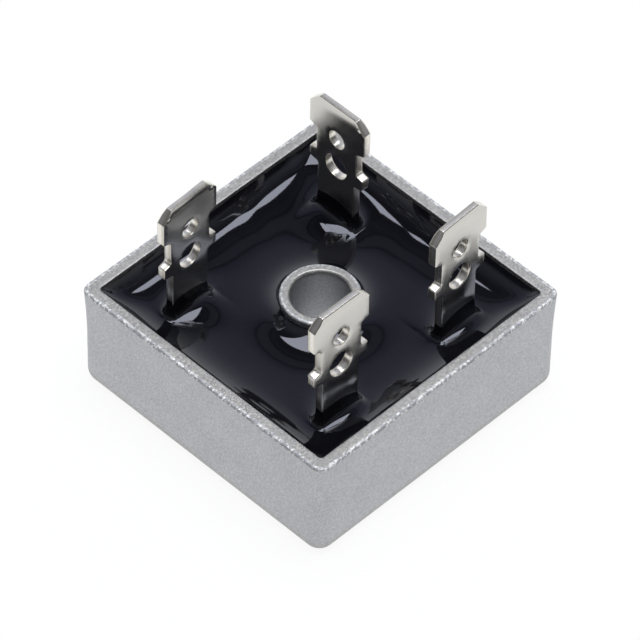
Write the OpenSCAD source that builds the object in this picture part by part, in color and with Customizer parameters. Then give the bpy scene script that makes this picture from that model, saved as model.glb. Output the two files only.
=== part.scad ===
// Square metal-case bridge rectifier: a die-cast aluminium box with a tube for its fixing
// screw, four silicon dies joined in a ring by copper strips, four push-on tabs, and a
// black resin poured round them that creeps up everything it touches.
// Units are millimetres. The origin is the middle of the underside, and +Z points up.

/* [Case] */
// Width and depth of the square case
case_w = 28.5; // [28.3:0.1:29]
// Height of the case from its underside to its rim
case_h = 11; // [10.8:0.1:11.4]
// Thickness of the side walls
case_wall = 1.2; // [1.1:0.1:1.3]
// Thickness of the base, which lies on the heat sink
case_base = 2.2; // [2:0.1:2.4]
// Radius of the upright outer corners
corner_r = 1.5; // [1.5:0.1:1.9]
// Radius of the edge round the underside
base_edge_r = 1.4; // [0.8:0.1:1.4]
// Radius of the outer edge of the rim
rim_edge_r = 0.4; // [0.2:0.1:0.5]
// Radius of the upright corners inside the case
cavity_r = 0.8; // [0.5:0.1:1]

/* [Screw hole] */
// Diameter of the hole for the fixing screw
bore_d = 5.2; // [5:0.1:5.4]
// Outer diameter of the tube round the hole
boss_d = 7; // [6.9:0.1:7.2]
// Distance from the rim down to the top of the tube
boss_drop = 0.4; // [0.3:0.1:0.6]
// Radius of the tube's outer top edge
boss_edge_r = 0.25; // [0.15:0.05:0.3]
// Width of the small chamfer at both ends of the hole
bore_chamfer = 0.15; // [0.1:0.05:0.2]

/* [Resin] */
// Distance from the rim down to the level part of the resin
resin_drop = 2.1; // [2:0.05:2.2]
// Height that the resin climbs on the walls
wall_climb = 1.8; // [1.6:0.05:1.85]
// Width of the resin's slope along the walls
wall_creep = 3.2; // [2.8:0.1:3.3]
// Height that the resin climbs on the tube
boss_climb = 1.2; // [1:0.05:1.3]
// Width of the resin's slope round the tube
boss_creep = 2.4; // [2.1:0.1:2.6]
// Height that the resin climbs on each tab
tab_climb = 1.6; // [1.4:0.05:1.65]
// Width of the resin's slope round each tab
tab_creep = 2.4; // [2.2:0.1:2.5]
// Hollow of the slopes, as a share of one that runs out quite level
slope_hollow = 0.92; // [0.8:0.02:0.94]

/* [Tabs] */
// Width of a tab's head
tab_w = 6.35; // [6.2:0.05:6.4]
// Thickness of the sheet that the tabs are stamped from
tab_t = 0.8; // [0.75:0.05:0.85]
// Height of the tips above the underside
tab_top = 22.2; // [21.8:0.1:23.2]
// Size of the cut corners at the tip
tab_corner = 1.05; // [0.9:0.05:1.2]
// Thickness of the tip after its two bevels
tip_t = 0.54; // [0.5:0.02:0.6]
// Height of the bevels at the tip
tip_bevel = 0.5; // [0.4:0.05:0.7]
// Distance from the tip down to the side notches
head_h = 3.45; // [3.3:0.05:3.6]
// Slope of the notches' upper edges, from the outside in
notch_slope = 0.3; // [0.2:0.05:0.4]
// Width of the neck between the notches
neck_w = 4.65; // [4.5:0.05:4.8]
// Distance from the tip down to the shoulders that stop the receptacle
shoulder_down = 6.3; // [6.2:0.05:6.4]
// Width over the shoulders
shoulder_w = 6.2; // [6:0.05:6.3]
// Height of the shoulders' outer edges
shoulder_h = 1.1; // [1:0.05:1.2]
// Slope of the shoulders' upper and lower edges
shoulder_slope = 0.2; // [0.1:0.05:0.3]
// Width of the stem below the shoulders
stem_w = 4.2; // [4.1:0.05:4.4]
// Diameter of the upper hole, which the receptacle's dimple finds
dimple_hole_d = 1.8; // [1.7:0.05:1.9]
// Distance from the tip down to the middle of the upper hole
dimple_hole_down = 3.65; // [3.6:0.05:3.7]
// Diameter of the lower hole, for a soldered wire
wire_hole_d = 2.5; // [2.4:0.05:2.6]
// Distance from the tip down to the middle of the lower hole
wire_hole_down = 6.85; // [6.7:0.05:6.9]
// Length of the foot that is soldered down, measured from the tab's far face
foot_l = 3.2; // [3:0.1:3.4]
// Inner radius of the bend above the foot
foot_bend_r = 0.6; // [0.5:0.05:0.8]

/* [Tab places] */
// Sideways place of the negative tab, from the middle of its strip's corner
negative_dx = 0.9; // [0.7:0.05:1]
// Lengthways place of the negative tab, from the middle of its strip's corner
negative_dy = -0.95; // [-1:0.05:-0.8]
// Sideways place of the left alternating-current tab, from its strip's corner
ac_left_dx = 0.5; // [0.4:0.05:0.7]
// Lengthways place of the left alternating-current tab, from its strip's corner
ac_left_dy = -0.15; // [-0.2:0.05:0.2]
// Sideways place of the right alternating-current tab, from its strip's corner
ac_right_dx = -1.65; // [-1.7:0.05:-1.3]
// Lengthways place of the right alternating-current tab, from its strip's corner
ac_right_dy = -1; // [-1:0.05:-0.8]
// Sideways place of the positive tab, which stands square to the others
positive_dx = 0.25; // [0:0.05:0.3]
// Lengthways place of the positive tab, from its strip's corner
positive_dy = -1.9; // [-2.1:0.05:-1.6]
// Turn of the two alternating-current tabs, in degrees, left by hand soldering
ac_turn = 2.6; // [0:0.2:3]

/* [Inner stack] */
// Thickness of the ceramic plate that insulates the circuit from the case
ceramic_t = 0.8; // [0.7:0.05:0.9]
// Gap between the ceramic plate and the walls
ceramic_gap = 0.3; // [0.2:0.05:0.4]
// Gap between the ceramic plate and the tube
ceramic_bore_gap = 0.5; // [0.4:0.05:0.6]
// Thickness of the copper strips
copper_t = 0.8; // [0.7:0.05:0.9]
// Distance from the middle to the outer edges of the copper strips
copper_reach = 11.2; // [11.1:0.1:11.4]
// Width of the legs of the copper strips
copper_leg_w = 6; // [5.9:0.1:6]
// Size of the cut corner of each copper strip
copper_corner = 1.6; // [1.2:0.1:1.8]
// How far the strips' ends reach beyond the dies
copper_overlap = 0.3; // [0.2:0.05:0.4]
// Width of a square silicon die
die_w = 4.8; // [4.6:0.1:4.8]
// Thickness of a silicon die
die_t = 0.35; // [0.3:0.01:0.4]
// Thickness of the solder layers
solder_t = 0.1; // [0.08:0.01:0.14]
// How far the solder under and over a die stays inside its edge
solder_inset = 0.2; // [0.15:0.05:0.3]

/* [Hidden] */

$fn = 96;
// How far a cutting shape reaches past the surface that it cuts
cut = 1;

// Case
cavity_w = case_w - 2 * case_wall;
boss_top = case_h - boss_drop;
side_run = case_w - 2 * corner_r;

// Resin
resin_top = case_h - resin_drop;
// How far the slopes reach into the tube and the tabs, which are then cut out of them
inside_metal = tab_t / 4;
// How far the slopes are rooted below the level of the resin
slope_root = 0.5;

// Stack of layers, from the floor of the case up
ceramic_z = case_base;
plate_z = ceramic_z + ceramic_t;
under_solder_z = plate_z + copper_t;
die_z = under_solder_z + solder_t;
over_solder_z = die_z + die_t;
jumper_z = over_solder_z + solder_t;
jumper_top = jumper_z + copper_t;

// Middles of the dies: each lies on one axis, in the middle of a strip's leg
die_place = copper_reach - copper_leg_w / 2;
// Distance from the axis to which each strip's leg reaches past it
leg_end = die_w / 2 + copper_overlap;

// Colours
ALUMINIUM = [0.70, 0.71, 0.73];
RESIN = [0.11, 0.11, 0.14];
PLATED = [0.78, 0.77, 0.74];
COPPER = [0.72, 0.44, 0.30];
CERAMIC = [0.92, 0.92, 0.90];
SILICON = [0.34, 0.35, 0.40];
SOLDER = [0.66, 0.67, 0.70];

// ---- Case ----

// Upright section through the outer edge of the case, from the corner's centre outward:
// a rounded foot, a straight wall and a small rounded rim
module edge_profile() {
    difference() {
        square([corner_r, case_h]);
        translate([corner_r - base_edge_r, 0]) {
            difference() {
                translate([0, -cut]) square([base_edge_r + cut, base_edge_r + cut]);
                translate([0, base_edge_r]) circle(base_edge_r);
            }
        }
        translate([corner_r - rim_edge_r, case_h - rim_edge_r]) {
            difference() {
                square(rim_edge_r + cut);
                circle(rim_edge_r);
            }
        }
    }
}

// The case's outer form: a block, the same edge section run along its four sides, and
// turned through a quarter circle at its four corners
module case_outside() {
    translate([-side_run / 2, -side_run / 2, 0]) cube([side_run, side_run, case_h]);
    for (side = [0 : 3]) {
        rotate(side * 90) {
            translate([side_run / 2, side_run / 2, 0]) {
                rotate([90, 0, 0]) linear_extrude(side_run) edge_profile();
                rotate_extrude(angle = 90) edge_profile();
            }
        }
    }
}

// Square with four rounded corners, made of true arcs
module rounded_square(w, r) {
    square([w, w - 2 * r], center = true);
    square([w - 2 * r, w], center = true);
    for (sx = [-1, 1], sy = [-1, 1]) {
        translate([sx * (w / 2 - r), sy * (w / 2 - r)]) circle(r);
    }
}

module boss_outside() {
    cylinder(h = boss_top - boss_edge_r, d = boss_d);
    cylinder(h = boss_top, d = boss_d - 2 * boss_edge_r);
    rotate_extrude() {
        translate([boss_d / 2 - boss_edge_r, boss_top - boss_edge_r]) {
            intersection() {
                circle(boss_edge_r);
                square(boss_edge_r);
            }
        }
    }
}

// The screw hole, widened a little at both mouths
module bore() {
    mouth_d = bore_d + 2 * bore_chamfer;
    translate([0, 0, -cut]) cylinder(h = case_h + 2 * cut, d = bore_d);
    cylinder(h = bore_chamfer, d1 = mouth_d, d2 = bore_d);
    translate([0, 0, boss_top - bore_chamfer]) cylinder(h = bore_chamfer, d1 = bore_d, d2 = mouth_d);
}

module case() {
    color(ALUMINIUM) {
        difference() {
            union() {
                difference() {
                    case_outside();
                    translate([0, 0, case_base]) {
                        linear_extrude(case_h) rounded_square(cavity_w, cavity_r);
                    }
                }
                boss_outside();
            }
            bore();
        }
    }
}

// ---- Circuit ----

module insulating_plate() {
    color(CERAMIC) {
        translate([0, 0, ceramic_z]) {
            difference() {
                linear_extrude(ceramic_t) {
                    square(cavity_w - 2 * ceramic_gap, center = true);
                }
                translate([0, 0, -cut]) cylinder(h = ceramic_t + 2 * cut, d = boss_d + 2 * ceramic_bore_gap);
            }
        }
    }
}

// Copper strip bent flat round the corner in the first quarter of the plane: two legs
// whose ends pass the axes, where the dies lie
module corner_strip(z) {
    inner = copper_reach - copper_leg_w;
    translate([0, 0, z]) {
        linear_extrude(copper_t) {
            polygon([[-leg_end, inner], [inner, inner], [inner, -leg_end], [copper_reach, -leg_end],
                [copper_reach, copper_reach - copper_corner], [copper_reach - copper_corner, copper_reach],
                [-leg_end, copper_reach]]);
        }
    }
}

module plate_positive() {
    color(COPPER) corner_strip(plate_z);
}

module plate_negative() {
    color(COPPER) rotate(180) corner_strip(plate_z);
}

module jumper_ac_left() {
    color(COPPER) rotate(90) corner_strip(jumper_z);
}

module jumper_ac_right() {
    color(COPPER) rotate(-90) corner_strip(jumper_z);
}

// A flat square on the axis at this quarter turn, where a lower and an upper strip cross
module square_at_die(quarter, z, w, t) {
    rotate(quarter * 90) translate([die_place, 0, z]) {
        linear_extrude(t) square(w, center = true);
    }
}

module die(quarter) {
    color(SILICON) square_at_die(quarter, die_z, die_w, die_t);
}

module solder_layer(z) {
    color(SOLDER) {
        for (quarter = [0 : 3]) square_at_die(quarter, z, die_w - 2 * solder_inset, solder_t);
    }
}

module solder_under_dies() {
    solder_layer(under_solder_z);
}

module solder_over_dies() {
    solder_layer(over_solder_z);
}

// ---- Tabs ----

// Front outline of a tab with its tip at the origin and its stem reaching down by length
module tab_outline(length) {
    notch = head_h + notch_slope;
    ear_top = shoulder_down + shoulder_slope;
    ear_low = ear_top + shoulder_h;
    half = [
        [tab_w / 2 - tab_corner, 0], [tab_w / 2, -tab_corner], [tab_w / 2, -head_h],
        [neck_w / 2, -notch], [neck_w / 2, -shoulder_down], [shoulder_w / 2, -ear_top],
        [shoulder_w / 2, -ear_low], [stem_w / 2, -ear_low - shoulder_slope], [stem_w / 2, -length]
    ];
    other_half = [for (i = [len(half) - 1 : -1 : 0]) [-half[i][0], half[i][1]]];
    polygon(concat(half, other_half));
}

// What a square corner at the origin loses when it is rounded to this radius
module corner_loss(r) {
    difference() {
        translate([-cut, -cut]) square(r + cut);
        translate([r, r]) circle(r);
    }
}

// Side section of a tab, with its tip at the origin: two bevels at the tip, a straight
// blade, and a bend into a foot that points along +X
module tab_section(length) {
    difference() {
        translate([-tab_t / 2, -length]) square([foot_l, length]);
        // All that lies in front of the blade and above the foot
        difference() {
            translate([tab_t / 2, tab_t - length]) square([foot_l, length]);
            translate([tab_t / 2, tab_t - length]) corner_loss(foot_bend_r);
        }
        // Outside of the bend
        translate([-tab_t / 2, -length]) corner_loss(foot_bend_r + tab_t);
        // Bevels at the tip
        for (face = [-1, 1]) {
            polygon([[face * tab_t / 2, -tip_bevel], [face * tip_t / 2, 0], [face * tip_t / 2, cut],
                [face * (tab_t / 2 + cut), cut], [face * (tab_t / 2 + cut), -tip_bevel]]);
        }
    }
}

// A stamped and bent tab: its outline seen from the front, cut with its section seen from
// the side, and its two holes
module tab(foot_z) {
    length = tab_top - foot_z;
    translate([0, 0, tab_top]) {
        difference() {
            intersection() {
                rotate([90, 0, 0]) {
                    linear_extrude(2 * foot_l, center = true) tab_outline(length);
                }
                rotate([90, 0, 90]) {
                    linear_extrude(tab_w, center = true) tab_section(length);
                }
            }
            translate([0, 0, -dimple_hole_down]) rotate([90, 0, 0]) {
                cylinder(h = 2 * cut, d = dimple_hole_d, center = true);
            }
            translate([0, 0, -wire_hole_down]) rotate([90, 0, 0]) {
                cylinder(h = 2 * cut, d = wire_hole_d, center = true);
            }
        }
    }
}

// Places of the tabs: each moves its children from the middle to its own place and turn.
// The feet point along +Y before the turn.
module at_positive() {
    translate([die_place + positive_dx, die_place + positive_dy, 0]) rotate(90) children();
}

module at_negative() {
    translate([negative_dx - die_place, negative_dy - die_place, 0]) children();
}

module at_ac_left() {
    translate([ac_left_dx - die_place, die_place + ac_left_dy, 0]) rotate(180 + ac_turn) children();
}

module at_ac_right() {
    translate([die_place + ac_right_dx, ac_right_dy - die_place, 0]) rotate(ac_turn) children();
}

module terminal_positive() {
    color(PLATED) at_positive() tab(die_z);
}

module terminal_negative() {
    color(PLATED) at_negative() tab(die_z);
}

module terminal_ac_left() {
    color(PLATED) at_ac_left() tab(jumper_top + solder_t);
}

module terminal_ac_right() {
    color(PLATED) at_ac_right() tab(jumper_top + solder_t);
}

// Solder under the flat part of a foot
module foot_solder(z) {
    bend_out = foot_bend_r + tab_t;
    translate([-stem_w / 2, bend_out - tab_t / 2, z]) cube([stem_w, foot_l - bend_out, solder_t]);
}

module solder_under_feet() {
    color(SOLDER) {
        at_positive() foot_solder(under_solder_z);
        at_negative() foot_solder(under_solder_z);
        at_ac_left() foot_solder(jumper_top);
        at_ac_right() foot_solder(jumper_top);
    }
}

// ---- Resin ----

// Section of the slope that the resin makes where it climbs a wall: the wall is the Y
// axis, and the hollow side is an arc that sags below the straight line. It may reach
// past the wall's face, where the wall itself then cuts it off, and it is rooted in the
// resin below the level.
module creep_profile(creep, climb, past_face = 0) {
    chord = sqrt(creep * creep + climb * climb);
    sag = slope_hollow * chord / 2 * tan(atan(climb / creep) / 2);
    arc_r = chord * chord / (8 * sag) + sag / 2;
    out = arc_r - sag;
    difference() {
        polygon([[-past_face, -slope_root], [creep, -slope_root], [creep, 0], [0, climb],
            [-past_face, climb]]);
        translate([creep / 2 + out * climb / chord, climb / 2 + out * creep / chord]) circle(arc_r);
    }
}

// A slope along a straight wall that lies on the X axis, with the resin on its +Y side
module straight_slope(length, creep, climb, past_face) {
    translate([-length / 2, 0, 0]) rotate([90, 0, 90]) {
        linear_extrude(length) creep_profile(creep, climb, past_face);
    }
}

module wall_slopes() {
    intersection() {
        for (side = [0 : 3]) {
            rotate(side * 90) translate([0, -cavity_w / 2, 0]) {
                straight_slope(cavity_w + 2 * cut, wall_creep, wall_climb, cut);
            }
        }
        linear_extrude(case_h) rounded_square(cavity_w, cavity_r);
    }
}

module boss_slope() {
    rotate_extrude() translate([boss_d / 2, 0]) creep_profile(boss_creep, boss_climb, inside_metal);
}

// Resin standing up round a tab's stem: slopes along its four faces, joined by quarter
// turns round its corners
module tab_slope() {
    for (half_turn = [0, 180]) {
        rotate(half_turn) {
            translate([0, tab_t / 2, 0]) straight_slope(stem_w, tab_creep, tab_climb, inside_metal);
            translate([-stem_w / 2, 0, 0]) rotate(90) straight_slope(tab_t, tab_creep, tab_climb, inside_metal);
            translate([stem_w / 2, tab_t / 2, 0]) {
                rotate_extrude(angle = 90) creep_profile(tab_creep, tab_climb);
            }
            translate([-stem_w / 2, tab_t / 2, 0]) rotate(90) {
                rotate_extrude(angle = 90) creep_profile(tab_creep, tab_climb);
            }
        }
    }
}

module resin() {
    color(RESIN) {
        difference() {
            union() {
                translate([0, 0, case_base]) {
                    linear_extrude(resin_top - case_base) rounded_square(cavity_w, cavity_r);
                }
                translate([0, 0, resin_top]) {
                    wall_slopes();
                    boss_slope();
                    at_positive() tab_slope();
                    at_negative() tab_slope();
                    at_ac_left() tab_slope();
                    at_ac_right() tab_slope();
                }
            }
            cylinder(h = case_h, d = boss_d);
            insulating_plate();
            union() {
                plate_positive();
                plate_negative();
                solder_under_dies();
                for (quarter = [0 : 3]) die(quarter);
                solder_over_dies();
                jumper_ac_left();
                jumper_ac_right();
                solder_under_feet();
            }
            terminal_positive();
            terminal_negative();
            terminal_ac_left();
            terminal_ac_right();
        }
    }
}

case();
insulating_plate();
plate_positive();
plate_negative();
jumper_ac_left();
jumper_ac_right();
die(1);  // die_left_positive
die(0);  // die_right_positive
die(3);  // die_right_negative
die(2);  // die_left_negative
solder_under_dies();
solder_over_dies();
solder_under_feet();
terminal_positive();
terminal_negative();
terminal_ac_left();
terminal_ac_right();
resin();
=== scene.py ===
# %% [markdown]
# A square bridge rectifier: a small die-cast aluminium box with a tube for its fixing screw,
# filled with black resin, with four push-on tabs standing out of it.
# The CAD model comes first, as a fixed frame. Everything made here is put where it says, in
# metres, so nothing is fitted by eye.

# %% Load the imported model as the frame
import math

import bmesh
import bpy
import numpy as np
from mathutils import Matrix, Vector
from mathutils.geometry import delaunay_2d_cdt


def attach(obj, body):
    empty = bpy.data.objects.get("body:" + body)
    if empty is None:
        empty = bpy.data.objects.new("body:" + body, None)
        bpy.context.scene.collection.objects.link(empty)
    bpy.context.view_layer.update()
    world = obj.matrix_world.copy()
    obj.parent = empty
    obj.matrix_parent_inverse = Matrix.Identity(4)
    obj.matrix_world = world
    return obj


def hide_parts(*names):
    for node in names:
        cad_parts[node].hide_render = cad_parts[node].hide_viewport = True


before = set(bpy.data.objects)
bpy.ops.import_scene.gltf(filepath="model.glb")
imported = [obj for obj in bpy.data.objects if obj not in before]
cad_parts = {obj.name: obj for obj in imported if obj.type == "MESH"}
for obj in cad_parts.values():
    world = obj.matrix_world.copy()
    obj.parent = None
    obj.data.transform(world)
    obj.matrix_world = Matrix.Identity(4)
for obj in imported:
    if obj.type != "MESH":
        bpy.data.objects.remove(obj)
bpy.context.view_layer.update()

# %% [markdown]
# The pieces below are surfaces worked out as whole arrays of points. These helpers turn such
# arrays into meshes. The usual form is a grid whose rows run along a section and whose
# columns run round the piece. Sizes are written in millimetres, as on a drawing, and turned
# into metres only here.

# %% Mesh helpers
MM = 0.001


def mesh_object(name, points, *groups):
    """An object at the origin whose smooth mesh has these points, in mm, and these groups of faces. The
    faces of one group all have the same number of corners."""
    groups = [np.asarray(faces, np.int32) for faces in groups]
    counts = np.concatenate([np.full(len(faces), faces.shape[1]) for faces in groups])
    mesh = bpy.data.meshes.new(name)
    mesh.vertices.add(len(points))
    mesh.vertices.foreach_set("co", (np.asarray(points, float) * MM).astype(np.float32).ravel())
    mesh.loops.add(counts.sum())
    mesh.loops.foreach_set("vertex_index", np.concatenate([faces.ravel() for faces in groups]))
    mesh.polygons.add(len(counts))
    mesh.polygons.foreach_set("loop_start", (np.cumsum(counts) - counts).astype(np.int32))
    mesh.polygons.foreach_set("use_smooth", np.ones(len(counts), bool))
    mesh.update(calc_edges=True)
    made = bpy.data.objects.new(name, mesh)
    bpy.context.scene.collection.objects.link(made)
    return made


def new_piece(name, slot, points, *groups):
    """A mesh object that rides on the part's one body. The slot is not used."""
    made = mesh_object(name, points, *groups)
    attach(made, "root")
    return made


def ring_faces(rows, columns, close_rows=True):
    """Four-cornered faces of a grid whose columns close into a ring and whose rows may close too."""
    r = np.arange(rows if close_rows else rows - 1)[:, None]
    c = np.arange(columns)[None, :]
    r2, c2 = (r + 1) % rows, (c + 1) % columns
    corners = [r * columns + c, r * columns + c2, r2 * columns + c2, r2 * columns + c]
    return np.stack([np.broadcast_to(k, (len(r), columns)) for k in corners], -1).reshape(-1, 4)


def ring_piece(name, grid, slot, node):
    """A closed piece that stands for a CAD node, from a grid of points that closes both ways. Its faces
    are turned over, because its rows run the other way round than the faces' corners."""
    made = new_piece(name, slot, grid.reshape(-1, 3), ring_faces(*grid.shape[:2])[:, ::-1])
    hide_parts(node)
    return made


def mark_points(made, name, values):
    """Keeps one number with each point of a piece, for its material to read."""
    marks = made.data.attributes.new(name, "FLOAT", "POINT")
    marks.data.foreach_set("value", np.asarray(values, np.float32))


def vertex_places(made):
    """Places of a mesh's vertices, in mm."""
    co = np.zeros(len(made.data.vertices) * 3, np.float32)
    made.data.vertices.foreach_get("co", co)
    return co.reshape(-1, 3).astype(float) / MM


def volume_mm3(made):
    """Volume inside a closed mesh, by adding up the pyramids from the origin to each face. It is negative
    where the faces point inwards."""
    made.data.calc_loop_triangles()
    corners = np.zeros(len(made.data.loop_triangles) * 3, np.int32)
    made.data.loop_triangles.foreach_get("vertices", corners)
    a, b, c = vertex_places(made)[corners.reshape(-1, 3)].transpose(1, 0, 2)
    return float((a * np.cross(b, c)).sum() / 6)


def uneven_edges(made):
    """How many edges of a mesh have one face, or more than two: none on a closed skin."""
    edges = np.zeros(len(made.data.loops), np.int32)
    made.data.loops.foreach_get("edge_index", edges)
    return int((np.bincount(edges, minlength=len(made.data.edges)) != 2).sum())


print("helpers ready, one unit of the drawing is", MM, "m")

# %% [markdown]
# Cast and poured surfaces are never perfectly even. Two kinds of unevenness serve here: a
# lattice noise, for the lumps that a mould leaves, and a sum of long waves, for the way a
# thick liquid levels. Both are worked out from fixed numbers, so each run gives the same.

# %% Unevenness helpers
def lattice_noise(points, cell, seed):
    """Numbers from -1 to 1 that vary smoothly: each corner of a lattice of cubes has its own fixed number,
    mixed from its place by large primes, and a point blends the eight numbers round it."""
    p = np.asarray(points, float) / cell
    base = np.floor(p).astype(np.int64)
    t = p - base
    t = t * t * (3 - 2 * t)
    total = np.zeros(p.shape[:-1])
    for corner in np.ndindex(2, 2, 2):
        k = base + np.array(corner)
        mixed = (k[..., 0] * 73856093) ^ (k[..., 1] * 19349663) ^ (k[..., 2] * 83492791)
        mixed = mixed ^ (seed * 2654435761)
        mixed = (mixed ^ (mixed >> 13)) * 1274126177 & 0x7FFFFFFF
        weight = np.prod(np.where(np.array(corner) == 1, t, 1 - t), -1)
        total += weight * (mixed / 0x3FFFFFFF - 1)
    return total


def long_waves(x, y, lengths, seed):
    """Sum of plane waves of these lengths, scaled to stay between -1 and 1. Each wave is turned from the
    last by the golden angle, in radians, and starts at its own place."""
    total = np.zeros_like(x)
    for k, length in enumerate(lengths):
        angle, phase = 2.399963 * (k + seed), 1.7 * (k + 1) * (seed + 1)
        total += np.sin((x * math.cos(angle) + y * math.sin(angle)) * 2 * math.pi / length + phase)
    return total / len(lengths)


print("noise at one point:", round(float(lattice_noise(np.array([[0.3, 0.2, 0.7]]), 1.0, 4)[0]), 4))

# %% [markdown]
# The camera looks down on one corner of the box from some way off through a long lens, so
# the upright edges hardly lean together. Its place is worked out from its direction, its
# distance and a small roll, and its matrix is built from three perpendicular directions.

# %% Camera
LOOK_AZIMUTH, LOOK_HEIGHT, LOOK_ROLL = (math.radians(v) for v in (-46.044, 48.015, 1.24))
LOOK_DISTANCE, LOOK_LENS, AIM_UP = 0.5147, 341.83, 0.004906

level_back = Vector((math.sin(LOOK_AZIMUTH), -math.cos(LOOK_AZIMUTH), 0))
level_right = Vector((math.cos(LOOK_AZIMUTH), math.sin(LOOK_AZIMUTH), 0))
back = level_back * math.cos(LOOK_HEIGHT) + Vector((0, 0, math.sin(LOOK_HEIGHT)))
level_up = back.cross(level_right)
cam_right = level_right * math.cos(LOOK_ROLL) + level_up * math.sin(LOOK_ROLL)
cam_up = level_up * math.cos(LOOK_ROLL) - level_right * math.sin(LOOK_ROLL)
turned = Matrix((cam_right, cam_up, back)).transposed().to_4x4()

camera = bpy.data.objects.new("studio_camera", bpy.data.cameras.new("studio_camera"))
camera.data.lens, camera.data.sensor_width = LOOK_LENS, 36
camera.data.clip_start, camera.data.clip_end = 0.01, 20
camera.matrix_world = Matrix.Translation(level_up * AIM_UP + back * LOOK_DISTANCE) @ turned
bpy.context.scene.collection.objects.link(camera)
bpy.context.scene.camera = camera
bpy.context.scene.view_settings.view_transform = "Standard"
print("camera at", [round(v, 4) for v in camera.matrix_world.translation])

# %% [markdown]
# Colours are written as sRGB hex values, as a paint chart gives them, but shaders work in
# linear light, so one function turns one into the other. A second function adds a node: it
# takes the node's settings, and values or links for its sockets. There is no special
# function for any kind of node, which keeps every material readable in one way.
# Sockets that share a name are given by number. On a Map Range node, 1 and 2 are the range
# that is read and 3 and 4 the range that it becomes, and a colour Mix blends from 6 to 7.

# %% Material helpers
def linear(chart):
    """#RRGGBB as linear light: each channel over 12.92 where it is dark, else its 2.4th power after a
    small shift."""
    v = np.array([int(chart[k : k + 2], 16) for k in (1, 3, 5)]) / 255
    return (*np.where(v <= 0.04045, v / 12.92, ((v + 0.055) / 1.055) ** 2.4).tolist(), 1.0)


def add_node(tree, kind, sockets=None, steps=(), **settings):
    """Adds a node, sets what is given by name, and sets or links each socket: a socket's value here is a
    plain value or another node's output. A colour ramp also gets its steps, as (place, #RRGGBB)."""
    node = tree.nodes.new(kind)
    for key, value in settings.items():
        setattr(node, key, value)
    for _ in steps[2:]:
        node.color_ramp.elements.new(0.5)
    for k, (place, chart) in enumerate(steps):
        element = node.color_ramp.elements[k]
        element.position, element.color = place, linear(chart)
    for key, value in (sockets or {}).items():
        if isinstance(value, bpy.types.NodeSocket):
            tree.links.new(value, node.inputs[key])
        else:
            node.inputs[key].default_value = value
    return node


def new_material(name):
    """An empty node material of this name, and its node tree."""
    made = bpy.data.materials.new(name)
    made.use_nodes = True
    made.node_tree.nodes.clear()
    return made, made.node_tree


def put_on(made, material):
    """Gives a piece this one material."""
    made.data.materials.clear()
    made.data.materials.append(material)


print("mid grey #808080 is", round(linear("#808080")[0], 4), "in linear light")

# %% [markdown]
# The stage starts with a white table top. It is nearly white by itself for rays that look at
# it, straight or by way of a gloss, and a matt paper for all other rays. That keeps it white
# in the picture and still lets the part lay a faint shadow on it.

# %% Table
TABLE_HALF_MM = 3000
TABLE_OWN_WHITE = 0.92


def white_paper():
    """Matt white paper, mixed with an even white glow by the share that looks at it."""
    made, tree = new_material("matt_white_paper")
    seen = add_node(tree, "ShaderNodeLightPath").outputs
    looks = {0: seen["Is Camera Ray"], 1: seen["Is Glossy Ray"]}
    looks = add_node(tree, "ShaderNodeMath", looks, operation="ADD")
    any_look = {0: looks.outputs[0], 1: seen["Is Transmission Ray"]}
    any_look = add_node(tree, "ShaderNodeMath", any_look, operation="ADD", use_clamp=True)
    share = {0: any_look.outputs[0], 1: TABLE_OWN_WHITE}
    share = add_node(tree, "ShaderNodeMath", share, operation="MULTIPLY")
    matt = add_node(tree, "ShaderNodeBsdfDiffuse", {"Color": linear("#F4F4F4")})
    glow = add_node(tree, "ShaderNodeEmission", {"Color": linear("#FFFFFF"), "Strength": 1.0})
    mixed = {0: share.outputs[0], 1: matt.outputs[0], 2: glow.outputs[0]}
    mixed = add_node(tree, "ShaderNodeMixShader", mixed)
    add_node(tree, "ShaderNodeOutputMaterial", {"Surface": mixed.outputs[0]})
    return made


table_corners = np.array([[-1, -1, 0], [1, -1, 0], [1, 1, 0], [-1, 1, 0]]) * TABLE_HALF_MM
table = mesh_object("table_top", table_corners, [[0, 1, 2, 3]])
put_on(table, white_paper())
print("table top:", 2 * TABLE_HALF_MM * MM, "m wide")

# %% [markdown]
# A glossy black part is lit by what it mirrors, so the room matters more than the lamps. The
# far side of this room is pale low down and dim higher up: the dim upper part keeps the
# resin black, and two seams in it draw thin dark lines in the resin. The side nearest the
# camera is dark, which gives the upright metal its depth.

# %% Room
# Each step is a height, as the sine of the angle above the horizon, and a colour. The two
# seams of the far side are at about 52 and 57 degrees.
FAR_SIDE = [
    (0.0, "#FDFDFF"), (0.36, "#F1F2F6"), (0.50, "#D4D6DE"), (0.58, "#BEC1CB"), (0.64, "#AAADB9"),
    (0.695, "#9A9DAC"), (0.743, "#8F92A5"), (0.782, "#6D7080"), (0.7855, "#383940"), (0.7905, "#383940"),
    (0.794, "#717380"), (0.828, "#696B76"), (0.832, "#292A30"), (0.838, "#292A30"), (0.843, "#4C4E5A"),
    (0.875, "#353742"), (0.9, "#2A2A30"), (1.0, "#2A2A30"),
]
NEAR_SIDE = [(0.0, "#2C2C30"), (0.45, "#303034"), (0.6, "#86868A"), (0.85, "#8C8C90"), (1.0, "#58585C")]
# The level direction of the near side, and how far towards it the far side ends and the near side starts
NEAR_WAY, FAR_ENDS, NEAR_STARTS = (-0.72, -0.694, 0.0), -0.25, 0.15

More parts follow.
